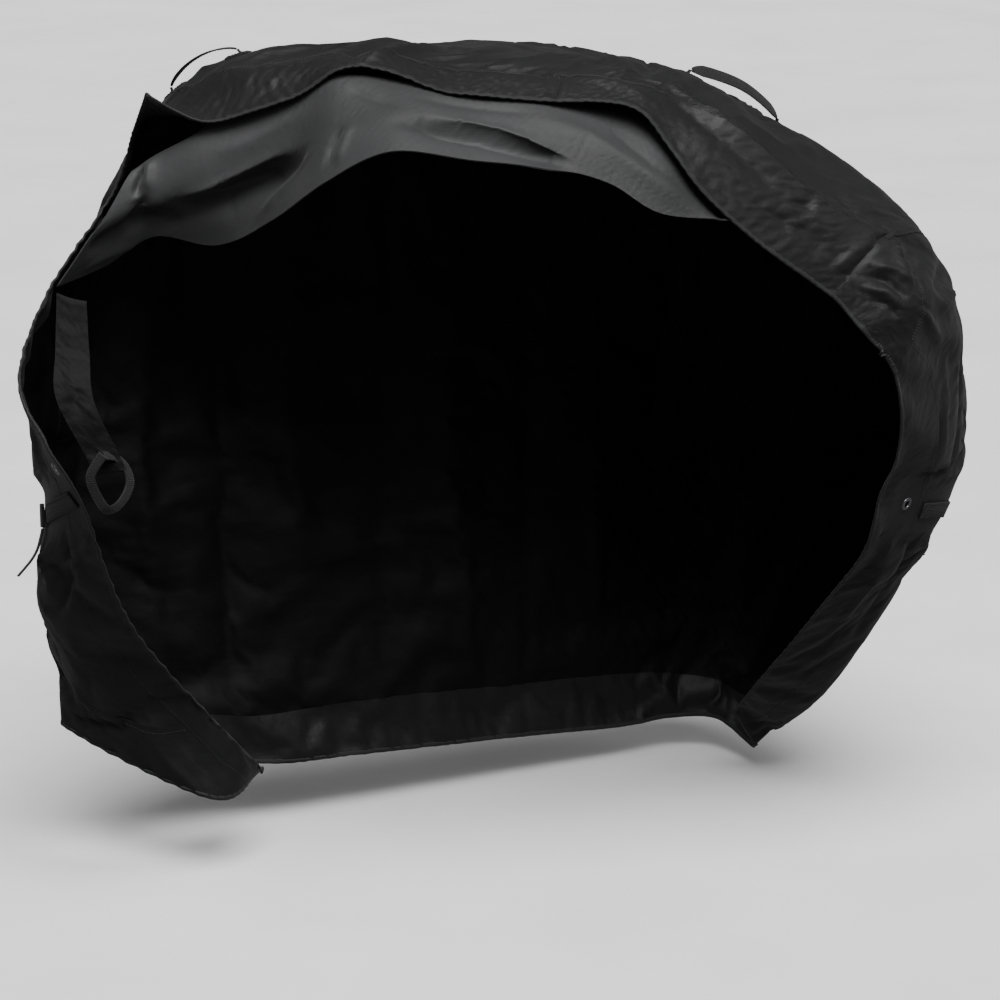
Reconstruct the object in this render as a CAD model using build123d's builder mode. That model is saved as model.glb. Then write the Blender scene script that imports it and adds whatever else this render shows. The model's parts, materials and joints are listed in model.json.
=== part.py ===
"""Fitted cloth cover for an outdoor gas grill, draped with its front lifted over the hood.

Frame, in millimetres: the origin is where the grill's hood carries the cloth, +X is to the
viewer's right along the front of the grill, -Y points out of the open front, +Z is up.
"""
from build123d import *
import os

os.makedirs("parts", exist_ok=True)

# ---------------------------------------------------------------- driving dimensions
CLOTH = 4.0              # solid thickness that stands for the cloth and the air in its folds
FOLD_CLOTH = 9.0         # the folded front lies double
BINDING_PROUD = 1.5      # how far the edge binding stands out of the hem on each face
SEAM_PROUD = 1.0         # the same for a felled seam
WEBBING_WIDTH = 25.0
WEBBING = 2.0            # webbing thickness
HANDLE_RISE = 16.0       # height of a carry handle's arch over the line between its ends
HANDLE_LIFT = 7.0        # a handle hinges this far over its sewn patches
HANDLE_LEAN = {"left": 0.0, "right": 35.0}   # degrees it has flopped to the front
HANDLE_NECK = 9.0        # width of the webbing where it is gathered and sewn
HANDLE_STUB = 3.0
HANDLE_GAP = 0.6         # clearance beside a handle's ends
PATCH_SIZE = 34.0
PATCH_THICK = 3.5
PATCH_SUNK = 2.0         # sewn pieces reach this far into the cloth
EYELET_BORE = 5.0        # radii
EYELET_BARREL = 6.5
EYELET_FLANGE = 10.0
EYELET_FLANGE_THICK = 1.0
LOCK_LENGTH = 30.0       # ladder lock of a side strap
LOCK_WIDTH = 32.0
LOCK_THICK = 4.0
LOCK_SLOT = 5.0
LOCK_SLOT_PITCH = 13.0
LOCK_LIFT = 4.0
TAB_LENGTH = 80.0        # free end of a side strap
TAIL_GAP = 1.5

# ---------------------------------------------------------------- the draped cloth
# Ribs of the outer cloth, from its left hem edge round to its right hem edge. Each rib runs
# from the lifted front hem, over the top, down the back to the rear hem.
OUTER_RIBS = [
    [(-475, 130, 30), (-466, 195, -30), (-485, 230, -120), (-600, 190, -240), (-680, 100, -325),
     (-672, 40, -398), (-622, 40, -486), (-515, 110, -700), (-265, 240, -970)],
    [(-440, 110, 5), (-430, 210, -25), (-445, 280, -100), (-530, 280, -225), (-612, 210, -340),
     (-622, 170, -440), (-612, 170, -530), (-592, 205, -695), (-385, 165, -970)],
    [(-395, 80, -5), (-394, 190, 18), (-390, 285, -28), (-450, 340, -165), (-505, 345, -320),
     (-530, 330, -455), (-542, 320, -575), (-555, 305, -705), (-545, 300, -875)],
    [(-320, 20, 25), (-324, 120, 54), (-310, 225, 48), (-340, 315, -42), (-395, 370, -190),
     (-415, 370, -395), (-420, 360, -600), (-410, 340, -785), (-400, 320, -935)],
    [(-248, -30, 70), (-210, 20, 80), (-155, 100, 84), (-240, 250, 25), (-250, 350, -115),
     (-250, 370, -365), (-250, 350, -585), (-240, 330, -805), (-240, 310, -985)],
    [(-148, -100, 37), (-110, -50, 58), (-50, 20, 78), (-80, 220, 45), (-80, 330, -85),
     (-80, 350, -345), (-80, 340, -575), (-80, 320, -795), (-80, 300, -995)],
    [(-26, -160, 25), (20, -110, 50), (95, -30, 66), (80, 180, 45), (80, 310, -85),
     (80, 330, -345), (80, 330, -585), (80, 310, -805), (80, 300, -1005)],
    [(70, -210, 10), (125, -160, 30), (210, -80, 36), (230, 140, 5), (240, 300, -115),
     (240, 330, -365), (240, 320, -595), (230, 310, -815), (230, 300, -1015)],
    [(130, -270, -90), (225, -220, -25), (335, -120, -35), (400, 100, -85), (410, 290, -205),
     (410, 330, -405), (400, 330, -615), (380, 320, -825), (360, 300, -1025)],
    [(215, -300, -172), (325, -260, -116), (450, -160, -110), (520, 80, -195), (530, 270, -305),
     (530, 320, -485), (520, 330, -665), (490, 320, -855), (450, 300, -1025)],
    [(314, -310, -245), (420, -280, -180), (550, -180, -205), (620, 40, -325), (640, 160, -455),
     (630, 230, -605), (600, 260, -745), (560, 270, -895), (510, 260, -1025)],
    [(356, -320, -294), (465, -310, -265), (580, -220, -310), (632, -170, -410), (650, -150, -520),
     (635, -130, -615), (597, -90, -710), (565, 40, -915), (525, 180, -1050)],
    [(390, -320, -327), (414, -320, -368), (432, -310, -428), (436, -290, -492), (426, -270, -543),
     (433, -220, -641), (428, -110, -759), (440, 20, -874), (475, 160, -980)],
]

# Ribs of the folded front, which lies over the hood with its lining outward, from the corner
# above the side shelf to its right end. Each rib runs from its lower edge up and back.
FOLD_RIBS = [
    [(-578, 176, -228), (-528, 165, -143), (-485, 165, -80), (-455, 200, -75), (-425, 235, -62)],
    [(-525, 168, -200), (-484, 145, -128), (-452, 148, -58), (-432, 195, -42), (-405, 245, -42)],
    [(-475, 130, -160), (-438, 108, -112), (-417, 115, -34), (-412, 168, -25), (-402, 238, -38)],
    [(-415, 60, -165), (-384, 63, -81), (-366, 91, -9), (-367, 146, 6), (-365, 220, -8)],
    [(-370, -10, -125), (-327, 8, -40), (-311, 50, 16), (-313, 101, 30), (-314, 170, 24)],
    [(-325, -90, -65), (-296, -60, -6), (-264, -8, 41), (-249, 22, 47), (-230, 61, 47)],
    [(-265, -160, -20), (-232, -112, 18), (-190, -47, 37), (-170, -24, 43), (-144, 7, 47)],
    [(-165, -200, -35), (-139, -150, 4), (-110, -85, 22), (-90, -58, 30), (-65, -25, 40)],
    [(-65, -220, -50), (-54, -190, -15), (-29, -140, 9), (-6, -115, 20), (23, -83, 27)],
    [(10, -240, -75), (26, -222, -38), (45, -185, -10), (70, -160, 8), (102, -127, 12)],
    [(70, -270, -115), (82, -260, -83), (100, -234, -55), (140, -208, -31), (191, -176, -24)],
    [(150, -290, -140), (160, -272, -132), (178, -250, -124), (225, -225, -96), (285, -200, -92)],
]

# Ribs of the loose end of the front, which hangs inside the left side from the shelf corner.
DROP_RIBS = [
    [(-588, 158, -244), (-628, 98, -290), (-646, 60, -345), (-618, 34, -420), (-590, 20, -490)],
    [(-574, 148, -250), (-608, 88, -296), (-624, 50, -350), (-596, 24, -426), (-570, 10, -494)],
    [(-558, 140, -254), (-588, 80, -300), (-600, 42, -352), (-574, 18, -428), (-550, 6, -492)],
]

# Station numbers along the ribs (v) and across them (u) where one sewn piece ends.
U_END = len(OUTER_RIBS) - 1
V_END = len(OUTER_RIBS[0]) - 1
EDGE = 0.06              # binding, as a share of the first interval
HEM = 1.0                # the wide hem facing takes the whole first interval along the front
SIDE_HEM = 0.45
BACK_HEM = 0.4
SEAM = 0.05
LEFT_SEAM, RIGHT_SEAM, REAR_SEAM = 2, 10, 3
HEM_JOINS = (4, 6, 10)   # ribs where lengths of the front hem are sewn end to end


def catmull_rom(points, station):
    """Point of the smooth line through all the points, at a station counted in points."""
    first, last = points[0], points[-1]
    ends = [first * 2 - points[1]] + list(points) + [last * 2 - points[-2]]
    i = min(int(station), len(points) - 2)
    t = station - i
    a, b, c, d = ends[i:i + 4]
    return (b * 2 + (c - a) * t + (a * 2 - b * 5 + c * 4 - d) * t**2
            + (b * 3 - a - c * 3 + d) * t**3) * 0.5


def surface_point(ribs, u, v):
    """Point of the smooth surface through the ribs."""
    return catmull_rom([catmull_rom([Vector(*p) for p in rib], v) for rib in ribs], u)


def surface_normal(ribs, u, v, step=0.05):
    """Outward normal, away from the grill."""
    u_low, u_high = max(u - step, 0), min(u + step, len(ribs) - 1)
    v_low, v_high = max(v - step, 0), min(v + step, len(ribs[0]) - 1)
    along = surface_point(ribs, u, v_high) - surface_point(ribs, u, v_low)
    across = surface_point(ribs, u_high, v) - surface_point(ribs, u_low, v)
    return across.cross(along).normalized()


class ClothGrid:
    """Grid of points and outward normals on the cloth, from which sewn pieces are cut."""

    def __init__(self, ribs, u_lines, v_lines):
        self.u_lines, self.v_lines = u_lines, v_lines
        self.points, self.normals = {}, {}
        for i, u in enumerate(u_lines):
            for j, v in enumerate(v_lines):
                self.points[i, j] = surface_point(ribs, u, v)
                self.normals[i, j] = surface_normal(ribs, u, v)

    def cells(self, u_from, u_to, v_from, v_to):
        """Cells between two stations each way."""
        small = 1e-6
        columns = [i for i, u in enumerate(self.u_lines[:-1])
                   if u > u_from - small and self.u_lines[i + 1] < u_to + small]
        rows = [j for j, v in enumerate(self.v_lines[:-1])
                if v > v_from - small and self.v_lines[j + 1] < v_to + small]
        return {(i, j) for i in columns for j in rows}

    def solid(self, cells, proud=0.0, outer=0.0, inner=-CLOTH):
        """Closed solid over the cells; proud is added to the outer and the inner offset."""
        def lifted(key, offset):
            return self.points[key] + self.normals[key] * offset

        def triangle(*corners):
            return Face(Wire.make_polygon(corners))

        levels = [inner, outer]
        if proud:
            levels = [inner - proud, inner, outer, outer + proud]
        faces, edges = [], set()
        for i, j in sorted(cells):
            a, b, c, d = (i, j), (i + 1, j), (i + 1, j + 1), (i, j + 1)
            for p, q, r in ((a, b, c), (a, c, d)):
                faces.append(triangle(*[lifted(key, levels[-1]) for key in (p, q, r)]))
                faces.append(triangle(*[lifted(key, levels[0]) for key in (p, r, q)]))
            edges |= {(a, b), (b, c), (c, d), (d, a)}
        for start, end in sorted(edges):
            if (end, start) in edges:
                continue
            for low, high in zip(levels, levels[1:]):
                a, b = lifted(start, low), lifted(end, low)
                c, d = lifted(end, high), lifted(start, high)
                if start < end:
                    faces += [triangle(a, b, c), triangle(a, c, d)]
                else:
                    faces += [triangle(a, b, d), triangle(b, c, d)]
        return Solid(Shell(faces))


def lines_with(whole, extra):
    """Whole and half stations, with the extra ones that piece edges need."""
    stations = {round(0.5 * k, 3) for k in range(2 * whole + 1)} | {round(x, 3) for x in extra}
    return sorted(stations)


u_marks = [EDGE, SIDE_HEM, U_END - SIDE_HEM, U_END - EDGE]
v_marks = [EDGE, V_END - BACK_HEM, V_END - EDGE]
for seam in (LEFT_SEAM, RIGHT_SEAM):
    u_marks += [seam - SEAM, seam + SEAM]
v_marks += [REAR_SEAM - SEAM, REAR_SEAM + SEAM]
outer_cloth = ClothGrid(OUTER_RIBS, lines_with(U_END, u_marks), lines_with(V_END, v_marks))

inside_u = (SIDE_HEM, U_END - SIDE_HEM)
inside_v = (HEM, V_END - BACK_HEM)

# ---------------------------------------------------------------- sewn panels
pieces = {
    "left_side_panel": outer_cloth.cells(inside_u[0], LEFT_SEAM - SEAM, *inside_v),
    "right_side_panel": outer_cloth.cells(RIGHT_SEAM + SEAM, inside_u[1], *inside_v),
    "top_panel": outer_cloth.cells(LEFT_SEAM + SEAM, RIGHT_SEAM - SEAM, HEM, REAR_SEAM - SEAM),
    "back_panel": outer_cloth.cells(LEFT_SEAM + SEAM, RIGHT_SEAM - SEAM,
                                    REAR_SEAM + SEAM, inside_v[1]),
    "left_seam": outer_cloth.cells(LEFT_SEAM - SEAM, LEFT_SEAM + SEAM, *inside_v),
    "right_seam": outer_cloth.cells(RIGHT_SEAM - SEAM, RIGHT_SEAM + SEAM, *inside_v),
    "rear_seam": outer_cloth.cells(LEFT_SEAM + SEAM, RIGHT_SEAM - SEAM,
                                   REAR_SEAM - SEAM, REAR_SEAM + SEAM),
    "front_hem_left": outer_cloth.cells(inside_u[0], HEM_JOINS[0], EDGE, HEM),
    "front_hem_middle": outer_cloth.cells(HEM_JOINS[0], HEM_JOINS[1], EDGE, HEM),
    "front_hem_right": outer_cloth.cells(HEM_JOINS[1], HEM_JOINS[2], EDGE, HEM),
    "left_hem": outer_cloth.cells(EDGE, inside_u[0], EDGE, V_END - EDGE),
    "right_hem": outer_cloth.cells(HEM_JOINS[2], inside_u[1], EDGE, HEM)
    | outer_cloth.cells(inside_u[1], U_END - EDGE, EDGE, V_END - EDGE),
    "back_hem": outer_cloth.cells(*inside_u, inside_v[1], V_END - EDGE),
    "front_binding": outer_cloth.cells(0, U_END, 0, EDGE),
    "left_binding": outer_cloth.cells(0, EDGE, EDGE, V_END - EDGE),
    "right_binding": outer_cloth.cells(U_END - EDGE, U_END, EDGE, V_END - EDGE),
    "back_binding": outer_cloth.cells(0, U_END, V_END - EDGE, V_END),
}


def proud_of_cloth(name):
    """How far a piece stands out of the cloth on both faces."""
    if name.endswith("_seam"):
        return SEAM_PROUD
    if name.endswith("_binding"):
        return BINDING_PROUD
    return 0.0


def write(part, name):
    """Label a finished piece and write its file."""
    part.label = name
    export_step(part, f"parts/{name}.step")


# ---------------------------------------------------------------- places of the hardware
def place_on_cloth(u, v, lift=0.0, travel=1):
    """Plane over the outer face: Z away from the grill, X towards the next or last rib."""
    normal = surface_normal(OUTER_RIBS, u, v)
    ahead = surface_point(OUTER_RIBS, u + 0.1 * travel, v)
    behind = surface_point(OUTER_RIBS, u - 0.1 * travel, v)
    return Plane(surface_point(OUTER_RIBS, u, v) + normal * lift,
                 x_dir=ahead - behind, z_dir=normal)


EYELETS = {"left_eyelet": (0.2, 5.45), "right_eyelet": (11.7, 4.4)}
HANDLES = {"left": ((2.2, 1.72), (3.05, 1.85)), "right": ((7.2, 2.15), (8.1, 2.2))}
# Each side strap: stations of its long webbing, of its ladder lock and of its short webbing,
# which way it travels across the ribs, and which way is down in the lock's own plane.
STRAPS = {
    "left": {"long": [(0.14, 5.93), (0.4, 5.95), (0.7, 5.97), (1.0, 6.0), (1.1, 6.01)],
             "lock": (1.22, 6.02), "short": [(1.34, 6.03), (1.5, 6.05), (1.7, 6.07)],
             "travel": 1, "down": 1},
    "right": {"long": [(11.55, 4.62), (11.3, 4.8), (11.1, 4.98), (10.9, 5.06), (10.78, 5.08)],
              "lock": (10.72, 5.09), "short": [(10.66, 5.1), (10.6, 5.1), (10.5, 5.11)],
              "travel": -1, "down": -1},
}

for name, cells in pieces.items():
    with BuildPart() as panel:
        add(outer_cloth.solid(cells, proud_of_cloth(name)))
        for eyelet, (u, v) in EYELETS.items():
            if name == eyelet.replace("eyelet", "hem"):
                with BuildSketch(place_on_cloth(u, v, 2 * CLOTH)):
                    Circle(EYELET_BARREL)
                extrude(amount=-5 * CLOTH, mode=Mode.SUBTRACT)
    write(panel.part, name)

fold_cloth = ClothGrid(FOLD_RIBS, lines_with(len(FOLD_RIBS) - 1, []), lines_with(4, []))
with BuildPart() as front_fold:
    add(fold_cloth.solid(fold_cloth.cells(0, len(FOLD_RIBS) - 1, 0, 4), inner=-FOLD_CLOTH))
write(front_fold.part, "front_fold")

drop_cloth = ClothGrid(DROP_RIBS, lines_with(2, []), lines_with(4, []))
with BuildPart() as front_drop:
    add(drop_cloth.solid(drop_cloth.cells(0, 2, 0, 4)))
write(front_drop.part, "front_drop")

# ---------------------------------------------------------------- eyelets in the hem
for name, (u, v) in EYELETS.items():
    outer_face = place_on_cloth(u, v, EYELET_FLANGE_THICK)
    with BuildPart() as eyelet:
        with BuildSketch(outer_face) as barrel:
            Circle(EYELET_BARREL)
        extrude(amount=-(CLOTH + 2 * EYELET_FLANGE_THICK))
        for depth in (0, CLOTH + EYELET_FLANGE_THICK):
            with BuildSketch(outer_face.offset(-depth)) as flange:
                Circle(EYELET_FLANGE)
            extrude(amount=-EYELET_FLANGE_THICK)
        with BuildSketch(outer_face) as bore:
            Circle(EYELET_BORE)
        extrude(amount=-(CLOTH + 2 * EYELET_FLANGE_THICK), mode=Mode.SUBTRACT)
    write(eyelet.part, name)

# ---------------------------------------------------------------- carry handles
for side, ends in HANDLES.items():
    patches = [place_on_cloth(u, v, -PATCH_SUNK) for u, v in ends]
    start, finish = [patch.origin + patch.z_dir * (PATCH_THICK + HANDLE_LIFT)
                     for patch in patches]
    along = (finish - start).normalized()
    up = patches[0].z_dir + patches[1].z_dir
    up = (up - along * up.dot(along)).normalized().rotate(Axis((0, 0, 0), along), HANDLE_LEAN[side])
    span = (finish - start).length
    side_view = Plane(start, x_dir=along, z_dir=along.cross(up))
    radius = (span**2 / 4 + HANDLE_RISE**2) / (2 * HANDLE_RISE)
    with BuildPart() as handle:
        with BuildSketch(side_view):
            with Locations((span / 2, HANDLE_RISE - radius)):
                Circle(radius)
                Circle(radius - WEBBING, mode=Mode.SUBTRACT)
            with Locations((span / 2, radius)):
                Rectangle(2 * radius, 2 * radius, mode=Mode.INTERSECT)
        extrude(amount=WEBBING_WIDTH / 2, both=True)
        with BuildSketch(Plane(start, x_dir=along, z_dir=up)):
            with BuildLine():
                wide, narrow = WEBBING_WIDTH / 2, HANDLE_NECK / 2
                Polyline((0, narrow), (WEBBING_WIDTH / 2, wide), (span - WEBBING_WIDTH / 2, wide),
                         (span, narrow), (span, -narrow), (span - WEBBING_WIDTH / 2, -wide),
                         (WEBBING_WIDTH / 2, -wide), (0, -narrow), close=True)
            make_face()
        extrude(amount=2 * HANDLE_RISE, both=True, mode=Mode.INTERSECT)
    write(handle.part, f"{side}_handle")
    with BuildPart() as sewn_ends:
        for patch, corner, outward in zip(patches, (start, finish), (-1, 1)):
            square = Plane(patch.origin, x_dir=along, z_dir=patch.z_dir)
            with BuildSketch(square):
                RectangleRounded(PATCH_SIZE, PATCH_SIZE, PATCH_SIZE / 10)
            extrude(amount=PATCH_THICK)
            stub = Plane(corner, x_dir=along, z_dir=patch.z_dir)
            with BuildSketch(stub):
                with Locations((outward * (HANDLE_GAP + HANDLE_STUB / 2), 0)):
                    Rectangle(HANDLE_STUB, HANDLE_NECK)
            extrude(amount=-(HANDLE_LIFT + PATCH_THICK / 2))
    write(sewn_ends.part, f"{side}_handle_patches")

# ---------------------------------------------------------------- side straps
def strap_webbing(stations):
    """Webbing sewn flat on the cloth along the stations."""
    centres = [surface_point(OUTER_RIBS, u, v) for u, v in stations]
    grid = ClothGrid(OUTER_RIBS, [], [])
    for j, (u, v) in enumerate(stations):
        normal = surface_normal(OUTER_RIBS, u, v)
        ahead = centres[min(j + 1, len(centres) - 1)] - centres[max(j - 1, 0)]
        aside = ahead.cross(normal).normalized() * (WEBBING_WIDTH / 2)
        for i, edge in enumerate((centres[j] - aside, centres[j] + aside)):
            grid.points[i, j], grid.normals[i, j] = edge, normal
    return grid.solid({(0, j) for j in range(len(stations) - 1)}, outer=WEBBING, inner=-1.0)


for side, strap in STRAPS.items():
    for length in ("long", "short"):
        with BuildPart() as webbing:
            add(strap_webbing(strap[length]))
        write(webbing.part, f"{side}_strap_{length}")
    plane = place_on_cloth(*strap["lock"], LOCK_LIFT, strap["travel"])
    with BuildPart() as ladder_lock:
        with BuildSketch(plane):
            RectangleRounded(LOCK_LENGTH, LOCK_WIDTH, 3)
            with GridLocations(LOCK_SLOT_PITCH, 1, 2, 1):
                Rectangle(LOCK_SLOT, WEBBING_WIDTH + 1, mode=Mode.SUBTRACT)
        extrude(amount=LOCK_THICK)
        fillet(ladder_lock.edges().group_by(Axis(plane.origin, plane.z_dir))[-1], 0.8)
    write(ladder_lock.part, f"{side}_ladder_lock")

    # The free end hangs from the lock's lower edge and curls away from the cloth.
    down = plane.y_dir * strap["down"]
    tail_view = Plane(plane.origin + down * (LOCK_WIDTH / 2 + TAIL_GAP)
                      + plane.z_dir * (LOCK_THICK / 2),
                      x_dir=down, z_dir=down.cross(plane.z_dir))
    with BuildPart() as tail:
        with BuildSketch(tail_view):
            with BuildLine():
                FilletPolyline((0, 0), (TAB_LENGTH * 0.4, 9), (TAB_LENGTH * 0.78, 36), radius=24)
            trace(line_width=WEBBING)
        extrude(amount=LOCK_SLOT_PITCH, both=True)
    write(tail.part, f"{side}_strap_tail")
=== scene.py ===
"""Black fabric grill cover, draped with its front folded up, built over the CAD frame."""
import json
import math

import bmesh
import bpy
import numpy as np
from mathutils import Matrix, Vector, noise
from mathutils.bvhtree import BVHTree


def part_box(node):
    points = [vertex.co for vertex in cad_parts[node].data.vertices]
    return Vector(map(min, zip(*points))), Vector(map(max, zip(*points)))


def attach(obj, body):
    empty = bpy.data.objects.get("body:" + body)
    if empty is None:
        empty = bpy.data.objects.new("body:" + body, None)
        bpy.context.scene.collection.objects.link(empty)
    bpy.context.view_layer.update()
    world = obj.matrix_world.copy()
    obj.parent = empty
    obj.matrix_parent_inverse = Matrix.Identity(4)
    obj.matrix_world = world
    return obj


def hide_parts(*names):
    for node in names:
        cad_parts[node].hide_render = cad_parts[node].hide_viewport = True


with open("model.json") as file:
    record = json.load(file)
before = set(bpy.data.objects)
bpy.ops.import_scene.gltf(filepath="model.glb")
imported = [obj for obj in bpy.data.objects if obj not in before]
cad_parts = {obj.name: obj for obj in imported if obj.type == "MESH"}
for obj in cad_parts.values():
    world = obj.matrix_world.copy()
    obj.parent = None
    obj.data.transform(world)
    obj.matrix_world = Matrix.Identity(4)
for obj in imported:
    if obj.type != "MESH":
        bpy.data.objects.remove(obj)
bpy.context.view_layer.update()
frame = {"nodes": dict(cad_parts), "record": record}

# ---------------------------------------------------------------- camera, light and floor
FLOOR_Z, FLOOR_HALF = -1.085, 30
TARGET = Vector((-0.131, -0.200, -0.490))
AZIMUTH, PITCH, DISTANCE = math.radians(-29.77), math.radians(15.04), 5.467


def aimed(obj, target):
    """Turn an object so that its -Z looks at the target."""
    obj.rotation_euler = (Vector(target) - obj.location).to_track_quat("-Z", "Y").to_euler()


camera = bpy.data.objects.new("camera", bpy.data.cameras.new("camera"))
bpy.context.collection.objects.link(camera)
camera.location = TARGET + DISTANCE * Vector((
    math.sin(AZIMUTH) * math.cos(PITCH), -math.cos(AZIMUTH) * math.cos(PITCH), math.sin(PITCH)))
aimed(camera, TARGET)
camera.data.lens, camera.data.sensor_width = 149.9, 36.0
bpy.context.scene.camera = camera


def light(name, kind, place, target, power):
    lamp = bpy.data.lights.new(name, kind)
    lamp.energy = power
    obj = bpy.data.objects.new(name, lamp)
    obj.location = place
    bpy.context.collection.objects.link(obj)
    aimed(obj, target)
    return lamp


def area_light(name, place, target, size, power):
    lamp = light(name, "AREA", place, target, power)
    lamp.shape, lamp.size = "DISK", size


sun = light("overhead_light", "SUN", (-0.75, -2.0, 3.9), (-0.1, 0.0, 0.0), 5.2)
sun.angle = math.radians(40)
area_light("front_light", (-1.0, -3.3, 2.8), (-0.1, 0.0, 0.0), 2.2, 40)
area_light("left_light", (-2.8, -0.6, 1.9), (-0.3, 0.0, 0.0), 1.4, 5)
area_light("right_light", (3.0, -1.6, 1.3), (0.5, -0.1, -0.4), 1.2, 8)
world = bpy.data.worlds.new("studio")
bpy.context.scene.world = world
world.use_nodes = True
backdrop = world.node_tree.nodes["Background"]
backdrop.inputs["Color"].default_value = (1, 1, 1, 1)
backdrop.inputs["Strength"].default_value = 0.2


# ---------------------------------------------------------------- the draped cloth, in mm
OUTER_RIBS = [
    [(-475, 130, 30), (-466, 195, -30), (-485, 230, -120), (-600, 190, -240), (-680, 100, -325),
     (-672, 40, -398), (-622, 40, -486), (-515, 110, -700), (-265, 240, -970)],
    [(-440, 110, 5), (-430, 210, -25), (-445, 280, -100), (-530, 280, -225), (-612, 210, -340),
     (-622, 170, -440), (-612, 170, -530), (-592, 205, -695), (-385, 165, -970)],
    [(-395, 80, -5), (-394, 190, 18), (-390, 285, -28), (-450, 340, -165), (-505, 345, -320),
     (-530, 330, -455), (-542, 320, -575), (-555, 305, -705), (-545, 300, -875)],
    [(-320, 20, 25), (-324, 120, 54), (-310, 225, 48), (-340, 315, -42), (-395, 370, -190),
     (-415, 370, -395), (-420, 360, -600), (-410, 340, -785), (-400, 320, -935)],
    [(-248, -30, 70), (-210, 20, 80), (-155, 100, 84), (-240, 250, 25), (-250, 350, -115),
     (-250, 370, -365), (-250, 350, -585), (-240, 330, -805), (-240, 310, -985)],
    [(-148, -100, 37), (-110, -50, 58), (-50, 20, 78), (-80, 220, 45), (-80, 330, -85),
     (-80, 350, -345), (-80, 340, -575), (-80, 320, -795), (-80, 300, -995)],
    [(-26, -160, 25), (20, -110, 50), (95, -30, 66), (80, 180, 45), (80, 310, -85),
     (80, 330, -345), (80, 330, -585), (80, 310, -805), (80, 300, -1005)],
    [(70, -210, 10), (125, -160, 30), (210, -80, 36), (230, 140, 5), (240, 300, -115),
     (240, 330, -365), (240, 320, -595), (230, 310, -815), (230, 300, -1015)],
    [(130, -270, -90), (225, -220, -25), (335, -120, -35), (400, 100, -85), (410, 290, -205),
     (410, 330, -405), (400, 330, -615), (380, 320, -825), (360, 300, -1025)],
    [(215, -300, -172), (325, -260, -116), (450, -160, -110), (520, 80, -195), (530, 270, -305),
     (530, 320, -485), (520, 330, -665), (490, 320, -855), (450, 300, -1025)],
    [(314, -310, -245), (420, -280, -180), (550, -180, -205), (620, 40, -325), (640, 160, -455),
     (630, 230, -605), (600, 260, -745), (560, 270, -895), (510, 260, -1025)],
    [(356, -320, -294), (465, -310, -265), (580, -220, -310), (632, -170, -410), (650, -150, -520),
     (635, -130, -615), (597, -90, -710), (565, 40, -915), (525, 180, -1050)],
    [(390, -320, -327), (414, -320, -368), (432, -310, -428), (436, -290, -492), (426, -270, -543),
     (433, -220, -641), (428, -110, -759), (440, 20, -874), (475, 160, -980)],
]
FOLD_RIBS = [
    [(-583, 190, -229), (-528, 165, -143), (-485, 165, -80), (-464, 203, -100), (-445, 235, -122)],
    [(-496, 219, -214), (-484, 145, -128), (-452, 148, -58), (-436, 190, -76), (-418, 235, -100)],
    [(-446, 181, -174), (-438, 108, -112), (-417, 115, -34), (-408, 162, -50), (-396, 215, -78)],
    [(-386, 111, -179), (-384, 63, -81), (-366, 88, -3), (-364, 138, -8), (-360, 190, -30)],
    [(-355, 15, -132), (-327, 8, -40), (-309, 39, 29), (-313, 101, 30), (-314, 170, 24)],
    [(-325, -90, -65), (-296, -60, -6), (-264, -14, 52), (-249, 22, 47), (-230, 61, 47)],
    [(-265, -160, -20), (-232, -112, 18), (-192, -59, 47), (-170, -24, 43), (-144, 7, 47)],
    [(-165, -200, -35), (-139, -150, 4), (-113, -100, 32), (-90, -58, 30), (-65, -25, 40)],
    [(-65, -220, -50), (-54, -190, -15), (-30, -149, 19), (-6, -115, 20), (23, -83, 27)],
    [(10, -240, -75), (26, -222, -38), (45, -185, -10), (70, -160, 8), (102, -127, 12)],
    [(70, -270, -115), (82, -260, -83), (100, -234, -55), (140, -208, -31), (191, -176, -24)],
    [(166, -284, -130), (160, -272, -132), (178, -250, -124), (225, -225, -96), (285, -200, -92)],
]
DROP_RIBS = [
    [(-592, 171, -233), (-628, 98, -290), (-646, 60, -345), (-618, 34, -420), (-590, 20, -490)],
    [(-576, 161, -240), (-608, 88, -296), (-624, 50, -350), (-596, 24, -426), (-570, 10, -494)],
    [(-558, 153, -245), (-588, 80, -300), (-600, 42, -352), (-574, 18, -428), (-550, 6, -492)],
]
STEP = 20                # grid cells from one rib to the next, and from one point to the next
HEM, SIDE_HEM, BACK_HEM, SEAM = STEP, 9, 8, 1        # widths in grid cells
LEFT_SEAM, RIGHT_SEAM, REAR_SEAM = 2 * STEP, 10 * STEP, 3 * STEP
HEM_JOINS = (4 * STEP, 6 * STEP, 10 * STEP)
CREASE_TAPER = 0.3       # share of a crease's length over which it runs out at each end


def spline_weights(count, cells):
    """Weights that take points to a smooth line through them, cells to an interval."""
    stations = np.arange((count - 1) * cells + 1) / cells
    weights = np.zeros((len(stations), count))
    for row, station in enumerate(stations):
        i = min(int(station), count - 2)
        t = station - i
        shares = (-t / 2 + t**2 - t**3 / 2, 1 - 2.5 * t**2 + 1.5 * t**3,
                  t / 2 + 2 * t**2 - 1.5 * t**3, (t**3 - t**2) / 2)
        for k, share in enumerate(shares):
            j = i - 1 + k
            if j < 0:
                weights[row, 0] += 2 * share
                weights[row, 1] -= share
            elif j >= count:
                weights[row, count - 1] += 2 * share
                weights[row, count - 2] -= share
            else:
                weights[row, j] += share
    return weights


def normals_of(points):
    """Unit outward normals of a grid of points."""
    across, along = np.gradient(points, axis=(0, 1))
    normals = np.cross(across, along)
    return normals / np.maximum(np.linalg.norm(normals, axis=2, keepdims=True), 1e-12)


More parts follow.
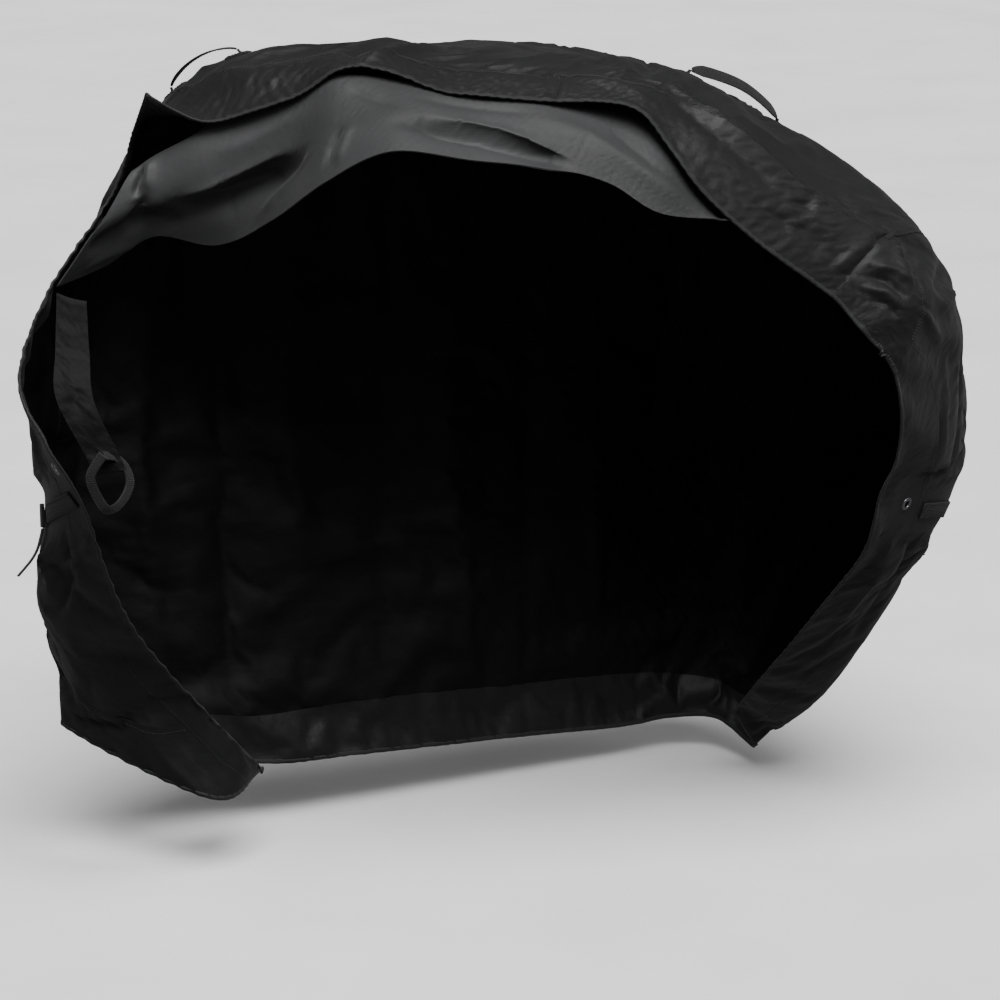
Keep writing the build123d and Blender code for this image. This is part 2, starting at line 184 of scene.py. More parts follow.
class Cloth:
    """A grid of points in metres, with its normals and its flat coordinates."""

    def __init__(self, ribs, u_cells=STEP, v_cells=STEP):
        ribs = np.array(ribs, float) / 1000
        self.u_cells, self.v_cells = u_cells, v_cells
        across = spline_weights(ribs.shape[0], u_cells)
        along = spline_weights(ribs.shape[1], v_cells)
        self.points = np.einsum("ia,abk,jb->ijk", across, ribs, along)
        self.normals = normals_of(self.points)
        steps_u = np.linalg.norm(np.diff(self.points, axis=0), axis=2)
        steps_v = np.linalg.norm(np.diff(self.points, axis=1), axis=2)
        self.flat = np.zeros(self.points.shape[:2] + (2,))
        self.flat[1:, :, 0] = np.cumsum(steps_u.mean(axis=1, keepdims=True)
                                        * np.ones_like(steps_u), axis=0)
        self.flat[:, 1:, 1] = np.cumsum(steps_v.mean(axis=0, keepdims=True)
                                        * np.ones_like(steps_v), axis=1)

    def shape(self):
        return self.points.shape[:2]

    def place(self, u, v):
        """Point and normal at a station."""
        i, j = u * self.u_cells, v * self.v_cells
        i0 = min(int(i), self.shape()[0] - 2)
        j0 = min(int(j), self.shape()[1] - 2)
        s, t = i - i0, j - j0
        found = []
        for grid in (self.points, self.normals):
            found.append((1 - s) * (1 - t) * grid[i0, j0] + s * (1 - t) * grid[i0 + 1, j0]
                         + (1 - s) * t * grid[i0, j0 + 1] + s * t * grid[i0 + 1, j0 + 1])
        return Vector(found[0]), Vector(found[1]).normalized()

    def near(self, stations, radius):
        """Share from 1 on the line through the stations to 0 beyond the radius."""
        line = np.array([self.place(u, v)[0] for u, v in stations])
        if len(line) > 1:
            line = np.concatenate([np.linspace(a, b, 12) for a, b in zip(line, line[1:])])
        distance = np.full(self.shape(), 1e9)
        for point in line:
            distance = np.minimum(distance, np.linalg.norm(self.points - point, axis=2))
        return np.clip(1 - distance / radius, 0, 1)

    def push(self, amount):
        """Move each point along its normal."""
        self.points = self.points + self.normals * amount[..., None]
        self.normals = normals_of(self.points)

    def fold(self, stations, width, height):
        """A crease along a line of stations: a crisp ridge, or a valley when height is negative."""
        line = [np.array(self.place(u, v)[0]) for u, v in stations]
        dense = np.concatenate([np.linspace(a, b, 24) for a, b in zip(line, line[1:])])
        run = np.linspace(0, 1, len(dense))
        strength = np.clip(np.minimum(run, 1 - run) / CREASE_TAPER, 0, 1)
        strength = strength * strength * (3 - 2 * strength)
        best = np.zeros(self.shape())
        for point, share in zip(dense, strength):
            distance = np.linalg.norm(self.points - point, axis=2)
            best = np.maximum(best, share / (1 + (distance / width) ** 2) ** 1.5)
        self.push(best * height)


def crumple(cloth, seed, size, stretch=(1.0, 1.0)):
    """Smooth noise from -1 to 1 over the flat cloth."""
    out = np.zeros(cloth.shape())
    flat = cloth.flat
    for i in range(out.shape[0]):
        for j in range(out.shape[1]):
            x, y = flat[i, j, 0] / (size * stretch[0]), flat[i, j, 1] / (size * stretch[1])
            out[i, j] = noise.noise((x, y, seed))
    return out


def grid_mesh(name, points):
    count_u, count_v = points.shape[:2]
    ids = np.arange(count_u * count_v).reshape(count_u, count_v)
    quads = np.stack([ids[:-1, :-1], ids[1:, :-1], ids[1:, 1:], ids[:-1, 1:]], axis=-1)
    mesh = bpy.data.meshes.new(name)
    mesh.from_pydata(points.reshape(-1, 3).tolist(), [], quads.reshape(-1, 4).tolist())
    mesh.update()
    return mesh


SETTLE_FRAMES = 14
CLOTH_SETTINGS = {
    "quality": 5, "mass": 0.02, "tension_stiffness": 12, "compression_stiffness": 12,
    "shear_stiffness": 4, "bending_stiffness": 0.4, "tension_damping": 8,
    "compression_damping": 8, "shear_damping": 8, "bending_damping": 0.5, "air_damping": 3,
    "vertex_group_mass": "hold", "pin_stiffness": 1.0,
}


def settle(cloth, hold, slack, cap):
    """Let the cloth buckle and sag by simulation, held in place where hold is near 1."""
    mesh = grid_mesh("settling", cloth.points)
    obj = bpy.data.objects.new("settling", mesh)
    bpy.context.collection.objects.link(obj)
    group = obj.vertex_groups.new(name="hold")
    for index, weight in enumerate(hold.reshape(-1)):
        group.add([index], float(weight), "REPLACE")
    modifier = obj.modifiers.new("cloth", "CLOTH")
    for key, value in CLOTH_SETTINGS.items():
        setattr(modifier.settings, key, value)
    modifier.settings.shrink_min = -slack
    modifier.settings.effector_weights.gravity = 0.35
    modifier.collision_settings.use_collision = False
    modifier.collision_settings.use_self_collision = False
    modifier.point_cache.frame_start, modifier.point_cache.frame_end = 1, SETTLE_FRAMES + 1
    scene = bpy.context.scene
    for number in range(1, SETTLE_FRAMES + 1):
        scene.frame_set(number)
    settled = obj.evaluated_get(bpy.context.evaluated_depsgraph_get()).to_mesh()
    found = np.zeros(len(settled.vertices) * 3)
    settled.vertices.foreach_get("co", found)
    moved = found.reshape(cloth.points.shape) - cloth.points
    far = np.linalg.norm(moved, axis=2, keepdims=True)
    moved *= np.minimum(1, cap / np.maximum(far, 1e-9))
    scene.frame_set(1)
    bpy.data.objects.remove(obj)
    bpy.data.meshes.remove(mesh)
    cloth.points = cloth.points + moved
    cloth.normals = normals_of(cloth.points)


# ---------------------------------------------------------------- materials
def set_inputs(node, **values):
    """Set a node's inputs by name, with an underscore for each space."""
    for key, value in values.items():
        node.inputs[key.replace("_", " ")].default_value = value
    return node


def new_material(name):
    """A material with its shader, a maker of nodes and a maker of links."""
    material = bpy.data.materials.new(name)
    material.use_nodes = True
    nodes, links = material.node_tree.nodes, material.node_tree.links

    def add(kind, **values):
        return set_inputs(nodes.new(f"ShaderNode{kind}"), **values)

    def link(source, output, target, entry):
        links.new(source.outputs[output], target.inputs[entry])

    return material, nodes["Principled BSDF"], add, link


def fabric(name, colour, rough, thread=0.0011, weave=0.25, crinkle=0.5, sheen=0.07,
           shine=0.34):
    """Woven cloth: thread bump from the flat coordinates, fine crinkles and uneven colour."""
    material, shader, add, link = new_material(name)
    flat, place, threads = add("UVMap"), add("TexCoord"), add("Math")
    flat.uv_map, threads.operation = "flat", "MULTIPLY"
    for entry, direction in enumerate("XY"):
        wave = add("TexWave", Scale=0.314 / thread, Distortion=0.6, Detail_Scale=60)
        wave.wave_type, wave.bands_direction = "BANDS", direction
        link(flat, "UV", wave, "Vector")
        link(wave, "Fac", threads, entry)

    patches = add("TexNoise", Scale=5.5, Detail=3)
    fine = add("TexNoise", Scale=46, Detail=5, Roughness=0.62)
    long_marks, marks = add("Mapping", Scale=(9, 42, 1)), add("TexNoise", Scale=1.0, Detail=4)
    link(place, "Object", patches, "Vector")
    link(place, "Object", fine, "Vector")
    link(flat, "UV", long_marks, "Vector")
    link(long_marks, "Vector", marks, "Vector")

    ramp, mixed = add("ValToRGB"), add("MixRGB", Fac=0.35)
    dark, pale = ramp.color_ramp.elements
    dark.position, pale.position = 0.3, 0.72
    dark.color = (*[c * 0.72 for c in colour], 1)
    pale.color = (*[min(c * 1.3, 1) for c in colour], 1)
    mixed.blend_type = "MULTIPLY"
    link(patches, "Fac", ramp, "Fac")
    link(ramp, "Color", mixed, "Color1")
    link(threads, "Value", mixed, "Color2")
    link(mixed, "Color", shader, "Base Color")

    gloss = add("MapRange", To_Min=rough - 0.09, To_Max=rough + 0.1)
    link(marks, "Fac", gloss, "Value")
    link(gloss, "Result", shader, "Roughness")
    set_inputs(shader, Specular_IOR_Level=shine, Sheen_Weight=sheen, Sheen_Roughness=0.45)

    crinkles, heights = add("Bump", Strength=crinkle, Distance=0.004), add("Math")
    heights.operation = "ADD"
    link(fine, "Fac", heights, 0)
    link(marks, "Fac", heights, 1)
    link(heights, "Value", crinkles, "Height")
    cloth_bump = add("Bump", Strength=weave, Distance=thread * 0.5)
    link(threads, "Value", cloth_bump, "Height")
    link(crinkles, "Normal", cloth_bump, "Normal")
    link(cloth_bump, "Normal", shader, "Normal")
    return material


def moulded(name, colour, rough, metal=0.0, scale=240, bump=0.12, wear=0.0):
    """Moulded plastic or coated metal with a fine surface grain and worn, shinier patches."""
    material, shader, add, link = new_material(name)
    set_inputs(shader, Metallic=metal)
    place, grain, ramp = add("TexCoord"), add("TexNoise", Scale=scale, Detail=4), add("ValToRGB")
    dark, pale = ramp.color_ramp.elements
    dark.color = (*[c * 0.8 for c in colour], 1)
    pale.color = (*[min(c * (1.25 + wear), 1) for c in colour], 1)
    gloss = add("MapRange", To_Min=rough + 0.1, To_Max=rough - 0.08)
    surface = add("Bump", Strength=bump, Distance=0.0006)
    link(place, "Object", grain, "Vector")
    link(grain, "Fac", ramp, "Fac")
    link(ramp, "Color", shader, "Base Color")
    link(grain, "Fac", gloss, "Value")
    link(gloss, "Result", shader, "Roughness")
    link(grain, "Fac", surface, "Height")
    link(surface, "Normal", shader, "Normal")
    return material


SHELL = fabric("shell_cloth", (0.006, 0.0061, 0.0064), 0.5, crinkle=0.25, sheen=0.035)
LINING = fabric("lining", (0.043, 0.0435, 0.045), 0.6, crinkle=0.12, sheen=0.055)
# painted shade: the inner face is coloured far darker than the lining shown at the fold, for the
# shade inside the cover
INSIDE_PAINTED_SHADE = fabric("shell_inside_painted_shade", (0.0024, 0.0024, 0.0026), 0.68, crinkle=0.25, sheen=0.0, shine=0.17)
# painted shade: the hanging strip's lining face is coloured as dark as the shell, far darker than
# the lining at the fold
DROP_FACE_PAINTED_SHADE = fabric("drop_lining_painted_shade", (0.006, 0.0061, 0.0065), 0.55, crinkle=0.2, sheen=0.035)
# the binding tape is coloured lighter than the shell: partly the tape's own colour, partly a
# painted highlight along the bound edge
TAPE_AND_EDGE_HIGHLIGHT = fabric("binding_tape", (0.014, 0.0143, 0.015), 0.55, thread=0.0014, weave=0.5, crinkle=0.1)
WEBBING = fabric("webbing", (0.0045, 0.0045, 0.0048), 0.55, thread=0.0024, weave=0.9, crinkle=0.1)
THREAD = moulded("thread", (0.02, 0.02, 0.0215), 0.5, scale=900)
PLASTIC = moulded("lock_plastic", (0.004, 0.004, 0.0044), 0.38)
METAL = moulded("eyelet_metal", (0.2, 0.2, 0.21), 0.3, metal=1.0, wear=0.3)

# ---------------------------------------------------------------- shaping the cloth
outer, fold, drop = Cloth(OUTER_RIBS), Cloth(FOLD_RIBS), Cloth(DROP_RIBS, 8, 16)
HARDWARE = {"left_eyelet": (0.2, 5.45), "right_eyelet": (11.7, 4.4)}
HANDLES = {"left": ((2.2, 1.72), (3.05, 1.85)), "right": ((7.2, 2.15), (8.1, 2.2))}
STRAPS = {
    "left": [(0.14, 5.93), (0.4, 5.95), (0.7, 5.97), (1.0, 6.0), (1.1, 6.01), (1.22, 6.02),
             (1.34, 6.03), (1.5, 6.05), (1.7, 6.07)],
    "right": [(11.55, 4.62), (11.3, 4.8), (11.1, 4.98), (10.9, 5.06), (10.78, 5.08),
              (10.72, 5.09), (10.66, 5.1), (10.6, 5.1), (10.5, 5.11)],
}

# Creases that the cloth was left with: stations along the line, width and height in mm.
OUTER_FOLDS = [
    # the front hem, from the left shoulder to the apex
    ([(4.5, 1.9), (4.25, 1.0), (4.0, 0.05)], 11, 10),
    ([(4.1, 1.9), (3.9, 1.0), (3.8, 0.2)], 18, -9), ([(2.4, 1.3), (2.9, 0.75), (3.6, 0.5)], 24, 6),
    ([(2.5, 0.7), (3.0, 0.45), (3.8, 0.3)], 14, 3),
    ([(2.6, 1.2), (3.1, 0.95), (3.8, 0.85)], 14, -3), ([(2.3, 2.0), (2.8, 1.6), (3.9, 1.5)], 14, 6),
    # over the hood and down the right shoulder
    ([(5.95, 1.5), (6.55, 1.4), (7.15, 1.25), (7.8, 0.95), (8.8, 0.95), (9.8, 1.0)], 15, 7),
    ([(6.9, 1.0), (7.9, 0.7), (8.85, 0.65)], 18, -7), ([(8.85, 0.68), (9.05, 0.78)], 5, -5),
    ([(5.0, 1.3), (5.6, 1.1), (6.0, 0.9)], 16, -5), ([(6.1, 0.9), (6.6, 0.75), (7.1, 0.45)], 16, 5),
    ([(9.95, 1.3), (9.95, 0.9), (9.95, 0.1)], 7, -8), ([(9.78, 1.2), (9.76, 0.2)], 13, 7),
    ([(8.7, 0.35), (9.2, 0.45), (9.6, 0.35)], 14, -5),
    ([(9.0, 1.3), (9.4, 1.15), (9.8, 1.1)], 8, -5),
    # the crumpled place below the right shoulder
    ([(10.1, 0.55), (10.4, 0.75), (10.7, 0.85)], 6, 6),
    ([(10.15, 0.45), (10.5, 0.6), (10.9, 0.7)], 5, -6),
    ([(10.2, 0.3), (10.6, 0.5), (11.0, 0.6)], 7, 6),
    ([(10.5, 0.3), (10.8, 0.45), (11.15, 0.5)], 5, -5), ([(10.25, 1.35), (10.35, 0.9)], 5, -7),
    ([(9.95, 1.2), (10.3, 0.95), (10.85, 0.8)], 9, 7), ([(6.05, 0.02), (6.06, 0.9)], 4, 3),
    ([(5.93, 0.02), (5.94, 0.95)], 4, -3), ([(10.45, 1.4), (10.6, 1.0), (10.95, 0.9)], 7, -6),
    ([(10.75, 1.9), (11.15, 1.35)], 11, 11), ([(10.5, 1.8), (10.9, 1.25)], 11, -9),
    ([(11.1, 0.9), (11.3, 1.3), (11.35, 1.9)], 9, 6),
    # the right side, pulled in by its strap
    ([(11.55, 4.3), (11.5, 3.3), (11.35, 2.2)], 13, 8),
    ([(11.3, 4.3), (11.2, 3.3), (11.0, 2.4)], 15, -9),
    ([(11.05, 4.6), (10.9, 3.6), (10.7, 2.6)], 18, 9),
    ([(11.5, 4.9), (11.4, 5.7), (11.3, 6.8)], 11, -10),
    ([(11.2, 5.2), (11.0, 6.0), (10.9, 7.2)], 14, 11),
    ([(10.85, 5.3), (10.6, 6.2), (10.4, 7.4)], 16, -11),
    ([(10.4, 5.3), (10.2, 6.3), (10.1, 7.6)], 18, 10),
    ([(11.75, 4.7), (11.7, 5.6), (11.7, 6.6)], 10, 7),
    ([(9.6, 3.4), (9.5, 5.0), (9.4, 7.5)], 24, -12), ([(9.0, 3.3), (9.1, 5.4), (9.0, 7.6)], 26, 12),
    # the left side, pulled in by its strap
    ([(0.62, 6.1), (0.52, 6.3), (0.5, 6.5)], 6, -9),
    ([(0.5, 6.5), (0.62, 6.75), (0.9, 6.95)], 7, -9),
    ([(0.8, 6.15), (0.95, 6.5), (1.0, 7.3)], 12, 9),
    ([(0.42, 6.15), (0.38, 6.5), (0.36, 6.85)], 7, 7),
    ([(0.6, 7.45), (1.3, 7.68), (1.95, 7.85)], 6, -7),
    ([(1.3, 6.2), (1.5, 6.8), (1.6, 7.5)], 14, -10), ([(1.6, 6.15), (1.9, 6.9), (2.0, 7.6)], 14, 9),
    ([(0.7, 5.85), (0.8, 5.2), (0.75, 4.4)], 10, 7), ([(1.1, 5.9), (1.2, 5.1), (1.1, 4.2)], 12, -9),
    ([(1.5, 5.9), (1.6, 5.0), (1.5, 4.0)], 15, 9), ([(1.2, 1.6), (1.5, 2.3), (1.7, 3.1)], 12, 8),
    ([(0.8, 1.7), (1.1, 2.4), (1.3, 3.2)], 10, -8), ([(0.5, 0.4), (0.9, 1.2), (1.3, 1.9)], 10, 7),
    # the back, which hangs in broad folds
    ([(2.7, 3.3), (2.6, 5.2), (2.5, 7.7)], 26, 13), ([(3.3, 3.5), (3.2, 5.6), (3.2, 7.7)], 26, -14),
    ([(3.9, 3.3), (4.0, 5.4), (3.8, 7.7)], 28, 12), ([(4.7, 3.4), (4.5, 5.4), (4.6, 7.7)], 30, -14),
    ([(5.4, 3.4), (5.5, 5.0), (5.3, 7.7)], 26, 13), ([(6.1, 3.6), (6.0, 5.6), (6.2, 7.7)], 28, -13),
    ([(6.8, 3.3), (6.9, 5.4), (6.8, 7.7)], 26, 13), ([(7.6, 3.4), (7.5, 5.4), (7.7, 7.7)], 30, -14),
    ([(8.3, 3.3), (8.3, 5.2), (8.2, 7.7)], 26, 12), ([(4.0, 2.4), (3.4, 3.3), (2.6, 4.2)], 16, 8),
    ([(7.6, 2.3), (8.4, 3.1), (9.3, 3.9)], 18, 9), ([(6.4, 2.2), (6.2, 2.9), (6.5, 3.8)], 18, 7),
]
TOP_FOLDS = [
    # the main pleat and the hollow under it
    ([(1.8, 1.0), (2.6, 1.0), (3.5, 1.02), (4.6, 1.05)], 9, 7),
    ([(1.5, 0.5), (2.2, 0.6), (2.9, 0.66), (3.7, 0.72), (4.7, 0.86)], 20, -36),
    ([(3.6, 0.15), (4.1, 0.5), (4.6, 0.9)], 9, 7), ([(5.15, 1.05), (4.95, 0.7), (4.9, 0.3)], 6, -8),
    ([(5.3, 1.0), (5.2, 0.6), (5.15, 0.25)], 9, 5), ([(5.1, 1.75), (5.5, 1.5), (6.0, 1.2)], 8, -4),
    # the left end: a short seam, a dark hollow and the pale lip below it
    ([(0.5, 2.0), (0.57, 1.6), (0.72, 1.25)], 5, -12),
    ([(0.8, 1.95), (0.9, 1.6), (1.05, 1.3)], 7, 6),
    ([(0.2, 0.45), (0.9, 0.55), (1.6, 0.52), (2.3, 0.4)], 15, -36),
    ([(1.0, 1.25), (1.15, 0.8), (1.25, 0.45)], 9, -20),
    ([(0.4, 0.12), (1.4, 0.12), (2.4, 0.15)], 8, 6),
    # the right end: a rolled edge with a deep valley that runs out at the lower edge
    ([(5.6, 1.05), (6.8, 1.0), (7.3, 0.93), (7.7, 0.8), (8.1, 0.58), (8.6, 0.2)], 9, 6),
    ([(5.8, 0.8), (6.4, 0.76), (7.0, 0.69), (7.5, 0.56), (8.0, 0.38), (8.4, 0.18)], 16, -25),
    ([(7.6, 1.5), (8.6, 1.3), (9.6, 1.0), (10.6, 0.8)], 16, 5),
    ([(6.0, 1.5), (7.0, 1.5), (8.0, 1.6)], 10, -4), ([(8.9, 1.8), (9.8, 1.5), (10.6, 1.2)], 10, -4),
    ([(2.4, 1.5), (3.4, 1.45), (4.6, 1.6)], 14, 4),
]

held = np.zeros(outer.shape())
for stations in ([[s] for s in HARDWARE.values()] + [[s] for ends in HANDLES.values() for s in ends]
                 + list(STRAPS.values())):
    held = np.maximum(held, np.clip(outer.near(stations, 0.06) * 2, 0, 1))


def shaped(cloth, folds, keep, stiff, seed, wave, hold_rim, slack, cap, fine=0.0006):
    """Press the folds in, let the cloth settle, then add the small crumples of stiff cloth."""
    flat_points = cloth.points.copy()
    for stations, width, height in folds:
        cloth.fold(stations, width / 1000, height / 1000)
    cloth.push(wave * crumple(cloth, seed, 0.11, (0.8, 2.2)))
    cloth.points = cloth.points * (1 - keep[..., None]) + flat_points * keep[..., None]
    cloth.normals = normals_of(cloth.points)
    hold = np.maximum(keep, stiff)
    hold[0, :], hold[-1, :] = np.maximum(hold[0, :], hold_rim), np.maximum(hold[-1, :], hold_rim)
    hold[:, 0], hold[:, -1] = np.maximum(hold[:, 0], hold_rim), np.maximum(hold[:, -1], hold_rim)
    settle(cloth, hold, slack, cap)
    small = crumple(cloth, seed + 3, 0.034)
    ridged = (1 - 2 * np.abs(small)) * 0.5 + 0.5 * crumple(cloth, seed + 5, 0.016, (1, 1.6))
    cloth.push(fine * ridged * (1 - 0.7 * keep))


facing = np.full(outer.shape(), 0.08)
facing[:, :HEM] = 0.3
shaped(outer, OUTER_FOLDS, held, facing, seed=1.7, wave=0.003, hold_rim=0.7, slack=0.022,
       cap=0.012)
shaped(fold, TOP_FOLDS, np.zeros(fold.shape()), 0.3, seed=4.2, wave=0.0012, hold_rim=0.8,
       slack=0.006, cap=0.004, fine=0.0003)
shaped(drop, [([(0.6, 0.4), (1.0, 2.0), (0.8, 3.6)], 8, 5)], np.zeros(drop.shape()), 0.15,
       seed=7.1, wave=0.002, hold_rim=0.8, slack=0.02, cap=0.004)


# ---------------------------------------------------------------- pieces cut from the cloth
def finished(obj, body="cover", replaces=()):
    """Put a piece on its body, with the CAD nodes it stands for."""
    obj.data.shade_smooth()
    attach(obj, body)
    if replaces:
        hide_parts(*replaces)
    return obj


def new_mesh(name, verts, faces, materials, flat=None, indices=None):
    mesh = bpy.data.meshes.new(name)
    mesh.from_pydata([tuple(v) for v in verts], [], [tuple(f) for f in faces])
    for material in materials:
        mesh.materials.append(material)
    if indices is not None:
        mesh.polygons.foreach_set("material_index", np.array(indices, np.int32))
    if flat is not None:
        layer = mesh.uv_layers.new(name="flat")
        loops = np.zeros(len(mesh.loops), np.int32)
        mesh.loops.foreach_get("vertex_index", loops)
        layer.data.foreach_set("uv", np.array(flat, float)[loops].reshape(-1).astype(np.float32))
    mesh.update()
    obj = bpy.data.objects.new(name, mesh)
    bpy.context.collection.objects.link(obj)
    return obj


def cells_of(cloth, u_from, u_to, v_from, v_to):
    mask = np.zeros((cloth.shape()[0] - 1, cloth.shape()[1] - 1), bool)
    mask[u_from:u_to, v_from:v_to] = True
    return mask


def panel(name, cloth, mask, outer_lift, thick, materials, node):
    """A piece of cloth with both faces and its cut edge."""
    used = np.zeros(cloth.shape(), bool)
    for di in (0, 1):
        for dj in (0, 1):
            used[di:mask.shape[0] + di, dj:mask.shape[1] + dj] |= mask
    ids = np.full(cloth.shape(), -1)
    ids[used] = np.arange(used.sum())
    count = int(used.sum())
    lift = np.broadcast_to(outer_lift, cloth.shape())[used][:, None]
    outside = cloth.points[used] + cloth.normals[used] * lift
    inside = outside - cloth.normals[used] * thick
    i, j = np.nonzero(mask)
    quads = np.stack([ids[i, j], ids[i + 1, j], ids[i + 1, j + 1], ids[i, j + 1]], axis=1)
    halves = np.concatenate([quads[:, :3], quads[:, (0, 2, 3)]])       # cut alike on both faces
    faces = halves.tolist() + (halves[:, ::-1] + count).tolist()
    slots = [0] * len(halves) + [1] * len(halves)
    edges = {}
    for quad in quads.tolist():
        for a, b in zip(quad, quad[1:] + quad[:1]):
            edges[a, b] = True
    rim = [(a, b) for a, b in edges if (b, a) not in edges]
    for a, b in rim:
        faces.append((b, a, a + count, b + count))
        slots.append(0)
    obj = new_mesh(name, np.concatenate([outside, inside]), faces, materials,
                   np.concatenate([cloth.flat[used]] * 2), slots)
    sharp = {frozenset(e) for e in rim} | {frozenset((a + count, b + count)) for a, b in rim}
    for edge in obj.data.edges:
        if frozenset(edge.vertices) in sharp:
            edge.use_edge_sharp = True
    return finished(obj, replaces=[node])


def side_frames(points, normals):
    """Direction along a line and across it, at each of its points."""
    points = np.array(points)
    along = np.gradient(points, axis=0)
    along /= np.maximum(np.linalg.norm(along, axis=1, keepdims=True), 1e-9)
    across = np.cross(along, normals)
    across /= np.maximum(np.linalg.norm(across, axis=1, keepdims=True), 1e-9)
    return along, across


def lengths(points):
    """Distance along a line at each of its points."""
    return np.concatenate([[0], np.cumsum(np.linalg.norm(np.diff(points, axis=0), axis=1))])


def tube_faces(count, size):
    """Faces between rings of points, and one at each end."""
    faces = [(k * size + m, (k + 1) * size + m, (k + 1) * size + (m + 1) % size,
              k * size + (m + 1) % size) for k in range(count - 1) for m in range(size)]
    last = (count - 1) * size
    return faces + [tuple(range(size)), tuple(last + m for m in reversed(range(size)))]


def swept(name, points, normals, profile, material):
    """A profile of (across, up) pairs swept along a line."""
    points, normals = np.array(points), np.array(normals)
    across = side_frames(points, normals)[1]
    verts, flat = [], []
    for k, run in enumerate(lengths(points)):
        for girth, (side, up) in zip(lengths(np.array(profile)), profile):
            verts.append(points[k] + across[k] * side + normals[k] * up)
            flat.append((run, girth))
    return new_mesh(name, verts, tube_faces(len(points), len(profile)), [material], flat)


def rounded(width, thick, sides=4):
    """Outline of a flat tape with rounded edges."""
    outline = []
    radius = thick / 2
    for centre, start in ((width / 2 - radius, -90), (-width / 2 + radius, 90)):
        for k in range(sides + 1):
            turn = math.radians(start + 180 * k / sides)
            outline.append((centre + radius * math.cos(turn), radius * math.sin(turn)))
    return outline


def stitches(name, lines, material, pitch=0.0042, length=0.0030, thick=0.0009):
    """Rows of separate stitches along lines of (points, normals)."""
    verts, faces = [], []
    for points, normals in lines:
        points, normals = np.array(points, float), np.array(normals, float)
        run = lengths(points)
        for start in np.arange(pitch / 2, run[-1] - length, pitch):
            ends = [np.array([np.interp(start + d, run, points[:, c]) for c in range(3)])
                    for d in (0, length)]
            up = np.array([np.interp(start, run, normals[:, c]) for c in range(3)])
            along = (ends[1] - ends[0]) / length
            across = np.cross(along, up)
            base = len(verts)
            verts.append(ends[0] - up * thick * 0.3)
            for share in (0.25, 0.75):
                middle = ends[0] + (ends[1] - ends[0]) * share
                for turn in (0, 60, 120, 180, 240, 300):
                    c, s = math.cos(math.radians(turn)), math.sin(math.radians(turn))
                    verts.append(middle + across * c * thick / 2 + up * s * thick / 2)
            verts.append(ends[1] - up * thick * 0.3)
            for m in range(6):
                n = (m + 1) % 6
                faces.append((base, base + 1 + n, base + 1 + m))
                faces.append((base + 1 + m, base + 1 + n, base + 7 + n, base + 7 + m))
                faces.append((base + 7 + m, base + 7 + n, base + 13))
    return new_mesh(name, verts, faces, [material])


def line_in(points, normals, place, lift, first, last):
    """Points and normals along a grid's first axis, at one place on its second."""
    low = min(int(place), points.shape[1] - 2)
    t = place - low
    span = slice(first, None if last is None else last + 1)
    line, up = (g[span, low] * (1 - t) + g[span, low + 1] * t for g in (points, normals))
    return line + up * lift, up


def row(cloth, j, lift, i_from=0, i_to=None):
    """A line across the ribs, at one place from their starts."""
    return line_in(cloth.points, cloth.normals, j, lift, i_from, i_to)


def column(cloth, i, lift, j_from=0, j_to=None):
    """A line along one rib."""
    points, normals = cloth.points.swapaxes(0, 1), cloth.normals.swapaxes(0, 1)
    return line_in(points, normals, i, lift, j_from, j_to)


U_LAST, V_LAST = outer.shape()[0] - 1, outer.shape()[1] - 1
CUT = {
    "left_side_panel": [(SIDE_HEM, LEFT_SEAM - SEAM, HEM, V_LAST - BACK_HEM)],
    "right_side_panel": [(RIGHT_SEAM + SEAM, U_LAST - SIDE_HEM, HEM, V_LAST - BACK_HEM)],
    "top_panel": [(LEFT_SEAM + SEAM, RIGHT_SEAM - SEAM, HEM, REAR_SEAM - SEAM)],
    "back_panel": [(LEFT_SEAM + SEAM, RIGHT_SEAM - SEAM, REAR_SEAM + SEAM, V_LAST - BACK_HEM)],
    "left_seam": [(LEFT_SEAM - SEAM, LEFT_SEAM + SEAM, HEM, V_LAST - BACK_HEM)],
    "right_seam": [(RIGHT_SEAM - SEAM, RIGHT_SEAM + SEAM, HEM, V_LAST - BACK_HEM)],
    "rear_seam": [(LEFT_SEAM + SEAM, RIGHT_SEAM - SEAM, REAR_SEAM - SEAM, REAR_SEAM + SEAM)],
    "front_hem_left": [(SIDE_HEM, HEM_JOINS[0], 0, HEM)],
    "front_hem_middle": [(HEM_JOINS[0], HEM_JOINS[1], 0, HEM)],
    "front_hem_right": [(HEM_JOINS[1], HEM_JOINS[2], 0, HEM)],
    "left_hem": [(0, SIDE_HEM, 0, V_LAST)],
    "right_hem": [(HEM_JOINS[2], U_LAST - SIDE_HEM, 0, HEM),
                  (U_LAST - SIDE_HEM, U_LAST, 0, V_LAST)],
    "back_hem": [(SIDE_HEM, U_LAST - SIDE_HEM, V_LAST - BACK_HEM, V_LAST)],
}
CLOTH_THICK, HEM_THICK, SEAM_RISE = 0.0012, 0.0024, 0.0009
made = {}
for name, ranges in CUT.items():
    mask = np.zeros((U_LAST, V_LAST), bool)
    for cut in ranges:
        mask |= cells_of(outer, *cut)
    thick, lift, materials = CLOTH_THICK, 0.0, [SHELL, INSIDE_PAINTED_SHADE]
    if "hem" in name:
        thick, lift, materials = HEM_THICK, 0.0005, [SHELL, SHELL]
    if name.endswith("_seam"):
        thick, lift = CLOTH_THICK + 2 * SEAM_RISE, SEAM_RISE
    made[name] = panel(f"{name}_cloth", outer, mask, lift, thick, materials, name)
made["front_fold"] = panel("front_fold_cloth", fold, np.ones(np.array(fold.shape()) - 1, bool),
                           0.0, 0.002, [LINING, INSIDE_PAINTED_SHADE], "front_fold")
DROP_END = int(3.2 * drop.v_cells)       # a loop of webbing carries on from here
